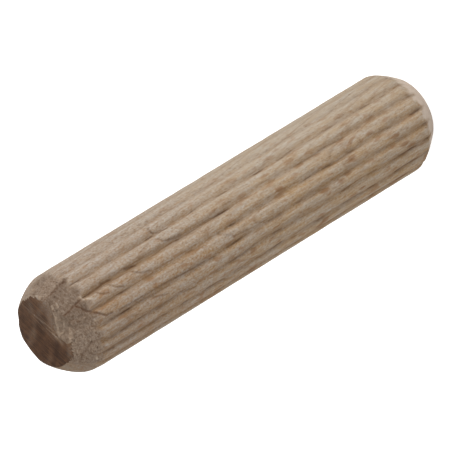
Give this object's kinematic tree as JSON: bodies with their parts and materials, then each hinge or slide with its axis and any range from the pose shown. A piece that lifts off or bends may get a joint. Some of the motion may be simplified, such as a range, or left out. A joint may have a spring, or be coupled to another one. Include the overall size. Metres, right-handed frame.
{
  "type": "fluted dowel pin",
  "caption": "Straight wooden pin with lengthwise flutes and crowned chamfers, glued into holes to line up and join two boards.",
  "frame": {"origin": "middle of the bottom end face, on the pin's axis", "axes": "+Z along the grain and the pin's axis, towards the end with the chipped rim; -Y is the side whose flutes are seen beside the chip"},
  "size_m": [0.0082, 0.0082, 0.04],
  "materials": {
    "beech": "raw pressed beech, dry and matt, burnished dark on the top end"
  },
  "bodies": {
    "root": {"dowel_pin": "beech"}
  },
  "joints": []
}
